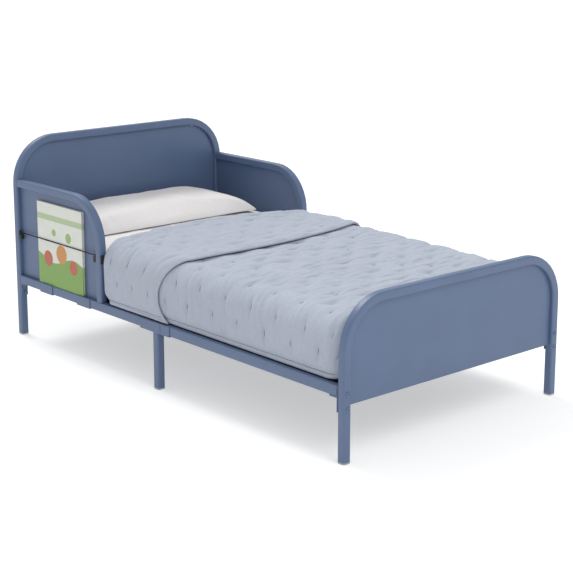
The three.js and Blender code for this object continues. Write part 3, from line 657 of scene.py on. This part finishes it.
UNEVEN_RISE = 0.0008  # slow waves over them
PINCH_DEPTH = 0.0034  # at a stitch
GROOVE_DEPTH = 0.0015  # from stitch to stitch
PUCKER_RISE = 0.0011
CREASE_DEPTH = 0.0017
WRINKLING = 1.55  # share of puckers and creases
BINDING_RADII = (0.0056, 0.0037)  # across the edge, and through the cloth
BINDING_INSET = 0.0042  # its middle lies this far inside the cloth's edge
SEAM_RADII = (0.0008, 0.0006)
SEAM_INSET = 0.0112  # from the quilt's edge to the sewing along its binding
STITCH_ROW = 0.048  # between rows of quilting stitches, along the bed
STITCH_STEP = 0.105  # from stitch to stitch in a row, across the bed
STITCH_LENGTH = 0.016
STITCH_RADIUS = 0.0006
STITCH_MARGIN = 0.02  # no stitch lies nearer to the quilt's edge


def crest_place(s):
    """Where the fold is along the bed, for each place across the cloth."""
    back = CREST_SETBACK * smooth(np.abs(s), 0.13, 0.335)
    lower_corner = CREST_CORNER * smooth(np.abs(s), HALF_ACROSS - 0.036, HALF_ACROSS) ** 1.5
    return CREST - back - lower_corner


def free_edge_place(s):
    """Where the folded part's free edge is along the bed, for each place across the cloth."""
    share = s / HALF_ACROSS
    corner = np.clip((-share - 0.88) / 0.12, 0, 1)
    near_side = NEAR_PULL * smooth(-share, 0.62, 0.86) - NEAR_TAIL * corner**2.2
    far_side = FAR_PULL * np.clip(share / 0.69, 0, 1.25) ** 1.7
    return FREE_EDGE + near_side + far_side + 0.002 * np.sin(share * 9)


def quilt_middle(s, v):
    """The quilt's middle surface and thickness: up from the foot, along the bed, over and back."""
    run = v - QUILT_FOOT_DROP
    crest = crest_place(s)
    free = free_edge_place(s)
    plain = np.minimum(run, MAIN_RUN - QUILT_FOOT_DROP) - START_Y
    main_y = plain - (CREST - crest) * smooth(plain, 0.02, CREST)
    turn = np.clip((v - MAIN_RUN) / FOLD_RUN, 0, 1) * math.pi
    flap = np.clip((v - MAIN_RUN - FOLD_RUN) / FLAP_RUN, 0, 1)
    rolled = (1 - np.cos(turn)) / 2
    y = main_y + FOLD_REACH * np.sin(turn) - flap * (crest - free)
    settle = smooth(flap, 0, 0.35)
    to_edge = np.maximum(QUILT_RUN - v, 0)
    curl = -0.0006 * np.exp(-((to_edge / 0.022) ** 2)) * (flap > 0)
    top = TOP_STAND + rolled * FLAP_RISE - settle * 0.0010 + curl
    side = SIDE_STAND + rolled * FLAP_SIDE_RISE
    near_fold = smooth(v, MAIN_RUN - 0.06, MAIN_RUN)
    top_thick = TOP_THICK - 0.0040 * near_fold - 0.0035 * settle
    side_thick = SIDE_THICK - 0.0046 * near_fold - 0.0012 * settle
    points, bend = drape(s, y, top, side, END_STAND, QUILT_DROP, QUILT_FOOT_DROP, head_end=False)
    at_foot = smooth(-y, START_Y, START_Y + 0.04)
    side_thick = side_thick * (1 - at_foot) + END_THICK * at_foot
    sideways = np.sin(bend) ** 2
    thick = top_thick * (1 - sideways) + side_thick * sideways
    return points, thick, rolled, at_foot


def drift_across(s, v):
    """How far the quilting strays from its even pattern across the cloth."""
    return 0.008 * rough(s * 7, v * 8, 22)


def drift_along(s, v):
    """How far the quilting strays from its even pattern along the cloth."""
    return 0.006 * rough(s * 9, v * 12, 21)


def quilting(s, v):
    """The quilted relief: a pinch at each short stitch, and puffed lenses between the rows."""
    a = s + drift_across(s, v)
    b = v + drift_along(s, v)
    lens = -np.cos(2 * math.pi * a / STITCH_STEP) * np.cos(math.pi * b / STITCH_ROW)
    lens = lens + 0.35 * lens * np.abs(lens)
    row = np.round(b / STITCH_ROW)
    shift = (row % 2) * STITCH_STEP / 2
    along = (a - shift + STITCH_STEP / 2) % STITCH_STEP - STITCH_STEP / 2
    across = b - row * STITCH_ROW
    pinch = np.exp(-((along / 0.018) ** 2) - (across / 0.0065) ** 2)
    groove = np.exp(-((across / 0.010) ** 2)) * (0.5 + 0.5 * np.cos(2 * math.pi * along / STITCH_STEP))
    puckers = rough(a * 12 + 3, b * 55, 23) + 0.5 * rough(a * 24, b * 118, 24)
    crease = np.exp(-((rough(a * 7.5 + 5, b * 38, 26) / 0.17) ** 2))
    crease = crease + 0.7 * np.exp(-((rough(a * 13 + 9, b * 66, 27) / 0.15) ** 2))
    flat = 1 - 0.6 * smooth(np.abs(s), START_X - 0.04, START_X + 0.03)
    puffed = (LENS_RISE * lens + UNEVEN_RISE * rough(s * 6, v * 6, 25)) * flat
    fine = PUCKER_RISE * puckers - CREASE_DEPTH * crease
    sewn = puffed - PINCH_DEPTH * pinch - GROOVE_DEPTH * groove
    return sewn + WRINKLING * fine * (0.35 + 0.65 * flat)


def quilt_faces(s, v):
    """The quilt's upper and under faces, in the order of the cloth itself."""
    middle, thick, rolled, at_foot = quilt_middle(s, v)
    normal = normals_of(middle)
    edge = np.minimum(np.minimum(HALF_ACROSS - np.abs(s), v), QUILT_RUN - v)
    thin = 0.36 + 0.64 * smooth(edge, 0.010, 0.022)
    relief = quilting(s, v) * smooth(edge, 0.006, 0.026) * (1 - 0.6 * at_foot)
    relief = relief * np.minimum(1, thick / THICK_ENOUGH)
    past_free_edge = middle[..., 1] - free_edge_place(s)
    covered = smooth(past_free_edge, 0.01, 0.05)
    relief = relief * (1 - 0.7 * covered * (v < MAIN_RUN))
    pressed = np.exp(-(((past_free_edge - 0.006) / 0.016) ** 2))
    pressed = pressed * (v < MAIN_RUN - 0.05) * np.minimum(1, thick / THICK_ENOUGH)
    relief = relief * (1 - 0.8 * pressed) - 0.0006 * pressed
    depth = np.maximum(SHEET_TOP - middle[..., 2], 0)
    hang = smooth(depth, 0.04, 0.13)
    sway = 0.0012 * hang * rough(v * 22, s * 3, 31)
    half = (thick * thin / 2)[..., None]
    upper = middle + normal * (half + ((relief + sway) * (1 - rolled))[..., None])
    under = middle - normal * (half + ((relief - sway) * rolled)[..., None])
    return upper, under, middle, normal


def outward_of(middle):
    """At each border point, the direction in the cloth that leads off it."""
    rows, columns = middle.shape[:2]
    edge = border(columns, rows)
    along_rows = np.gradient(middle, axis=1)
    along_columns = np.gradient(middle, axis=0)
    outs = []
    for i, j in edge:
        out = np.zeros(3)
        if j in (0, columns - 1):
            step = along_rows[i, j]
            out += step / np.linalg.norm(step) * (1 if j else -1)
        if i in (0, rows - 1):
            step = along_columns[i, j]
            out += step / np.linalg.norm(step) * (1 if i else -1)
        outs.append(out / np.linalg.norm(out))
    return edge, np.array(outs)


def make_quilt():
    """The quilt with its binding, its sewing and its stitches."""
    columns, rows = 191, 601
    s = np.linspace(-HALF_ACROSS, HALF_ACROSS, columns)
    v = np.linspace(0, QUILT_RUN, rows)
    s, v = np.meshgrid(s, v)
    upper, under, middle, normal = quilt_faces(s, v)
    quilt = two_faced("quilt_cloth", upper, under, quilt_cotton)
    face_outwards(quilt)
    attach(quilt, "quilt")
    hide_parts("quilt")

    edge, out = outward_of(middle)
    path = middle[edge[:, 0], edge[:, 1]] - out * BINDING_INSET
    upright = normal[edge[:, 0], edge[:, 1]]
    binding = tube_piece("quilt_binding", path, BINDING_RADII, out, upright, binding_cotton, 12)
    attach(binding, "quilt")

    upper_seam = make_seam("quilt_seam_upper", upper, normal, 1)
    under_seam = make_seam("quilt_seam_under", under, normal, -1)
    stitches = make_stitches(s, v, upper, under, normal)


def on_grid(grid, s, v):
    """The place on a grid of the quilt's points that belongs to s across and v along the cloth."""
    rows, columns = grid.shape[:2]
    across = np.clip((np.asarray(s) + HALF_ACROSS) / (2 * HALF_ACROSS) * (columns - 1), 0, columns - 1.001)
    along = np.clip(np.asarray(v) / QUILT_RUN * (rows - 1), 0, rows - 1.001)
    j, i = across.astype(int), along.astype(int)
    fj, fi = (across - j)[..., None], (along - i)[..., None]
    low = grid[i, j] * (1 - fj) + grid[i, j + 1] * fj
    high = grid[i + 1, j] * (1 - fj) + grid[i + 1, j + 1] * fj
    return low * (1 - fi) + high * fi


def make_seam(name, face, normal, sign):
    """The line of sewing that holds the binding on, once round the quilt. Its dark thread is partly painted
    shade, for the groove beside the binding.
    """
    half, far = HALF_ACROSS - SEAM_INSET, QUILT_RUN - SEAM_INSET
    wide, long = 240, 420
    across = np.linspace(-half, half, wide)
    along = np.linspace(SEAM_INSET, far, long)
    s = np.concatenate([across, np.full(long, half), across[::-1], np.full(long, -half)])
    v = np.concatenate([np.full(wide, SEAM_INSET), along, np.full(wide, far), along[::-1]])
    keep = np.concatenate([[True], np.hypot(np.diff(s), np.diff(v)) > 1e-6])
    s, v = s[keep][:-1], v[keep][:-1]
    path = on_grid(face, s, v)
    up = on_grid(normal, s, v) * sign
    up = up / np.linalg.norm(up, axis=1, keepdims=True)
    ahead = np.roll(path, -1, 0) - np.roll(path, 1, 0)
    beside = np.cross(up, ahead)
    beside = beside / np.linalg.norm(beside, axis=1, keepdims=True)
    seam = tube_piece(name, path, SEAM_RADII, beside, up, thread, 6)
    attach(seam, "quilt")
    return seam


def make_stitches(s, v, upper, under, normal):
    """The short stitches of thread that show at the bottom of each pinch."""
    step_s = s[0, 1] - s[0, 0]
    step_v = v[1, 0] - v[0, 0]
    points, faces = [], []
    sides, lengths = 6, 5
    for row in range(1, int(QUILT_RUN / STITCH_ROW) + 1):
        shift = (row % 2) * STITCH_STEP / 2
        for k in range(-6, 7):
            a, b = k * STITCH_STEP + shift, row * STITCH_ROW
            if abs(a) > HALF_ACROSS - STITCH_MARGIN or not STITCH_MARGIN < b < QUILT_RUN - STITCH_MARGIN:
                continue
            a -= float(drift_across(a, b))
            b -= float(drift_along(a, b))
            face = upper if b < MAIN_RUN + FOLD_RUN / 2 else under
            sign = 1 if face is upper else -1
            ring_start = len(points)
            for n in range(lengths):
                share = n / (lengths - 1) - 0.5
                place_s = (a + share * STITCH_LENGTH + HALF_ACROSS) / step_s
                place_v = b / step_v
                j, i = int(place_s), int(place_v)
                fs, fv = place_s - j, place_v - i
                low = face[i, j] * (1 - fs) + face[i, j + 1] * fs
                high = face[i + 1, j] * (1 - fs) + face[i + 1, j + 1] * fs
                up = normal[i, j] * sign
                along = face[i, j + 1] - face[i, j]
                along = along / np.linalg.norm(along)
                beside = np.cross(up, along)
                rise = STITCH_RADIUS * (0.7 - 2.6 * abs(share))
                centre = low * (1 - fv) + high * fv + up * rise
                width = STITCH_RADIUS * (1.25 - 0.9 * abs(share))
                for m in range(sides):
                    angle = 2 * math.pi * m / sides
                    points.append(centre + beside * width * math.cos(angle) + up * width * math.sin(angle))
            for n in range(lengths - 1):
                for m in range(sides):
                    p = ring_start + n * sides + m
                    q = ring_start + n * sides + (m + 1) % sides
                    faces.append((p, q, q + sides, p + sides))
            faces.append(tuple(ring_start + m for m in range(sides))[::-1])
            faces.append(tuple(ring_start + (lengths - 1) * sides + m for m in range(sides)))
    stitches = new_mesh("quilt_stitches", points, faces, thread)
    face_outwards(stitches)
    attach(stitches, "quilt")
    return stitches


# ---- Pillow ----

PILLOW_END_ROOM = 0.010  # the unfilled case is this much shorter at each end
PILLOW_SIDE_ROOM = 0.008  # and this much narrower at each side
PILLOW_BLANK_RISE = 0.013  # half its thickness before it is filled
PILLOW_PRESSURE = 5.0
PILLOW_FRAMES = 20
PILLOW_FILL_CAP = 0.014  # how far the simulation may move a point
PILLOW_LEAN = 0.060  # its crown leans this far towards the headboard
PILLOW_DROOP = 0.020  # its far end is this much lower
PILLOW_BELLY = 0.48  # share of its height, once filled, that is pressed flat on the bed


def pillow_blank():
    """A flat rectangular case, before it is filled."""
    columns, rows = 129, 45
    half_x = (PILLOW_HIGH.x - PILLOW_LOW.x) / 2 - PILLOW_END_ROOM
    half_y = (PILLOW_HIGH.y - PILLOW_LOW.y) / 2 - PILLOW_SIDE_ROOM
    a, b = np.meshgrid(np.linspace(-1, 1, columns), np.linspace(-1, 1, rows))
    x = a * half_x * (1 - 0.035 * (1 - a * a) * b * b)
    y = b * half_y * (1 - 0.06 * (1 - b * b) * a * a)
    fill = (1 - a**4) ** 0.5 * (1 - b**4) ** 0.5
    z = PILLOW_BLANK_RISE * fill
    centre = (PILLOW_LOW + PILLOW_HIGH) / 2
    upper = np.stack([x + centre.x, y + centre.y, z + centre.z], -1)
    lower = np.stack([x + centre.x, y + centre.y, -z + centre.z], -1)
    count = rows * columns
    edge = border(columns, rows) @ np.array([columns, 1])
    lower_number = np.arange(count) + count
    lower_number[edge] = edge
    faces = np.concatenate([grid_faces(columns, rows), lower_number[grid_faces(columns, rows, 0, True)]])
    points = np.concatenate([upper.reshape(-1, 3), lower.reshape(-1, 3)])
    used = np.unique(faces)
    number = np.full(len(points), -1)
    number[used] = np.arange(len(used))
    pillow = new_mesh("pillow_case", points[used], number[faces], pillow_cotton)
    face_outwards(pillow)
    return pillow


def fill_with_air(piece, pressure, frames, cap):
    """Blows a closed cloth piece up by cloth simulation and keeps the result in its mesh."""
    count = len(piece.data.vertices)
    before = np.zeros(count * 3)
    piece.data.vertices.foreach_get("co", before)
    before = before.reshape(-1, 3)
    cloth = piece.modifiers.new("filling", "CLOTH")
    settings = cloth.settings
    settings.quality = 6
    settings.mass = 0.25
    settings.tension_stiffness = 22
    settings.compression_stiffness = 22
    settings.shear_stiffness = 8
    settings.bending_stiffness = 0.12
    settings.use_pressure = True
    settings.uniform_pressure_force = pressure
    settings.effector_weights.gravity = 0
    cloth.point_cache.frame_start = 1
    cloth.point_cache.frame_end = frames
    for number in range(1, frames + 1):
        bpy.context.scene.frame_set(number)
    graph = bpy.context.evaluated_depsgraph_get()
    after = np.zeros(count * 3)
    piece.evaluated_get(graph).data.vertices.foreach_get("co", after)
    moved = after.reshape(-1, 3) - before
    length = np.maximum(np.linalg.norm(moved, axis=1, keepdims=True), 1e-9)
    moved *= np.minimum(1, cap / length)
    piece.modifiers.remove(cloth)
    bpy.context.scene.frame_set(1)
    piece.data.vertices.foreach_set("co", (before + moved).ravel())
    piece.data.update()


def make_pillow():
    """A filled case, settled on the sheet and leaning towards the headboard."""
    pillow = pillow_blank()
    fill_with_air(pillow, PILLOW_PRESSURE, PILLOW_FRAMES, PILLOW_FILL_CAP)
    count = len(pillow.data.vertices)
    co = np.zeros(count * 3)
    pillow.data.vertices.foreach_get("co", co)
    co = co.reshape(-1, 3)
    low, high = co.min(0), co.max(0)
    share = (co[:, 2] - low[2]) / (high[2] - low[2])
    x, y = co[:, 0].copy(), co[:, 1].copy()
    floor = PILLOW_LOW.z + CLEAR
    height = PILLOW_HIGH.z - PILLOW_LOW.z
    upper = np.maximum(share - PILLOW_BELLY, 0) / (1 - PILLOW_BELLY)
    co[:, 2] = floor + height * upper
    place = (y - low[1]) / (high[1] - low[1]) * 2 - 1
    lean = PILLOW_LEAN * upper * (1 - place**2) ** 0.8
    co[:, 1] = np.minimum(y + lean, PILLOW_HIGH.y)
    droop = smooth(x, 0.20, 0.33)
    co[:, 2] -= PILLOW_DROOP * droop * upper
    dents = 0.0022 * rough(x * 13, y * 9, 41) + 0.0012 * rough(x * 34, y * 20, 42)
    co[:, 2] += dents * upper
    co[:, 2] = np.maximum(co[:, 2], floor + 0.0004 * rough(x * 40, y * 40, 43))
    pillow.data.vertices.foreach_set("co", co.ravel())
    pillow.data.update()
    finer = pillow.modifiers.new("finer", "SUBSURF")
    finer.levels = 1
    finer.render_levels = 1
    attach(pillow, "pillow")
    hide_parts("pillow")


# ---- Picture book ----


def make_book():
    """Two boards and a rounded spine round a block of pages. The spine is on the head side."""
    low, high = BOOK_LOW, BOOK_HIGH
    board = 0.0016
    overhang = 0.0025
    groove = 0.0006
    hinge = high.y - 0.009  # where the boards end and the spine's groove starts
    groove_end = high.y - 0.006
    spine_round = 0.0035
    spine_inside = high.y - 0.005
    middle = (low.x + high.x) / 2
    half = (high.x - low.x) / 2
    outline = [(low.x, low.y), (low.x, hinge), (low.x + groove, groove_end)]
    for k in range(9):
        angle = math.pi - k * math.pi / 8
        x = middle + (half - 0.0002) * math.cos(angle)
        y = high.y - spine_round + spine_round * math.sin(angle)
        outline.append((x, y))
    outline += [(high.x - groove, groove_end), (high.x, hinge), (high.x, low.y)]
    inside = [(high.x - board, low.y), (high.x - board, spine_inside)]
    inside += [(low.x + board, spine_inside), (low.x + board, low.y)]
    loop = outline + inside
    work = bmesh.new()
    base = work.faces.new([work.verts.new((x, y, low.z)) for x, y in loop])
    raised = bmesh.ops.extrude_face_region(work, geom=[base])["geom"]
    top = [part for part in raised if isinstance(part, bmesh.types.BMVert)]
    bmesh.ops.translate(work, verts=top, vec=(0, 0, high.z - low.z))
    bmesh.ops.recalc_face_normals(work, faces=work.faces)
    mesh = bpy.data.meshes.new("book_cover")
    work.to_mesh(mesh)
    work.free()
    mesh.materials.append(cover_board)
    cover = bpy.data.objects.new("book_cover", mesh)
    bpy.context.scene.collection.objects.link(cover)
    bevel = cover.modifiers.new("soft_edges", "BEVEL")
    bevel.width = 0.0004
    bevel.segments = 2
    bevel.limit_method = "ANGLE"
    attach(cover, "book")
    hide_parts("picture_book")

    across = np.linspace(low.x + board + 0.0001, high.x - board - 0.0001, 9)
    swell = np.cos(np.linspace(-1, 1, 9) * math.pi / 2)
    rows = np.linspace(low.z + overhang, high.z - overhang, 25)
    front = np.array([[(x, low.y + overhang + 0.0018 * w, z) for x, w in zip(across, swell)] for z in rows])
    back = np.array([[(x, high.y - 0.0052, z) for x in across] for z in rows])
    pages = two_faced("book_pages", front, back, paper)
    face_outwards(pages)
    pages.data.polygons.foreach_set("use_smooth", [False] * len(pages.data.polygons))
    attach(pages, "book")


make_mattress()
make_sheet()
make_quilt()
make_pillow()
make_book()

# ---- Floor, light and camera ----

FLOOR_HALF = 60.0
FLOOR_DROP = 0.0002  # below the feet
SKY_COLOUR = (0.97, 0.985, 1.0, 1)
SKY_STRENGTH = 0.70
KEY_COLOUR = (1.0, 0.985, 0.96)
KEY_ANGLE = math.radians(24)  # a wide sun, for soft shadows
KEY_STRENGTH = 1.55
FILL_SIZE = 2.6
FILL_WATTS = 40
CAMERA_YAW = math.radians(41.275)
CAMERA_PITCH = math.radians(12.394)
CAMERA_PLACE = (-2.4529, -2.8675, 1.1982)
CAMERA_LENS = 90.91
CAMERA_SHIFT = -0.10


def make_floor():
    """A wide flat floor, just under the feet."""
    steps = 13
    a = np.linspace(-FLOOR_HALF, FLOOR_HALF, steps)
    x, y = np.meshgrid(a, a)
    points = np.stack([x, y, np.full_like(x, -FLOOR_DROP)], -1).reshape(-1, 3)
    floor = new_mesh("studio_floor", points, grid_faces(steps, steps), pale_floor())


def soft_light(name, kind, place, aim, size, power, colour=(1, 1, 1)):
    """A round area light of a size in metres, or a soft sun of an angle in radians."""
    data = bpy.data.lights.new(name, kind)
    if kind == "SUN":
        data.angle = size
    else:
        data.shape = "DISK"
        data.size = size
    data.energy = power
    data.color = colour
    light = bpy.data.objects.new(name, data)
    light.location = place
    light.rotation_euler = (Vector(aim) - Vector(place)).to_track_quat("-Z", "Y").to_euler()
    bpy.context.scene.collection.objects.link(light)


make_floor()
world = bpy.data.worlds.new("studio")
world.use_nodes = True
world.node_tree.nodes["Background"].inputs["Color"].default_value = SKY_COLOUR
world.node_tree.nodes["Background"].inputs["Strength"].default_value = SKY_STRENGTH
bpy.context.scene.world = world
bpy.context.scene.view_settings.view_transform = "Standard"
soft_light("key", "SUN", (0.3, 2.1, 2.9), (0, 0, 0.2), KEY_ANGLE, KEY_STRENGTH, KEY_COLOUR)
soft_light("fill", "AREA", (-0.4, -2.6, 3.2), (0, 0, 0.3), FILL_SIZE, FILL_WATTS)

camera = bpy.data.objects.new("camera", bpy.data.cameras.new("camera"))
camera.data.sensor_width = 36.0
camera.data.lens = CAMERA_LENS
camera.data.shift_y = CAMERA_SHIFT
camera.location = CAMERA_PLACE
camera.rotation_euler = (math.pi / 2 - CAMERA_PITCH, 0, -CAMERA_YAW)
bpy.context.scene.collection.objects.link(camera)
bpy.context.scene.camera = camera
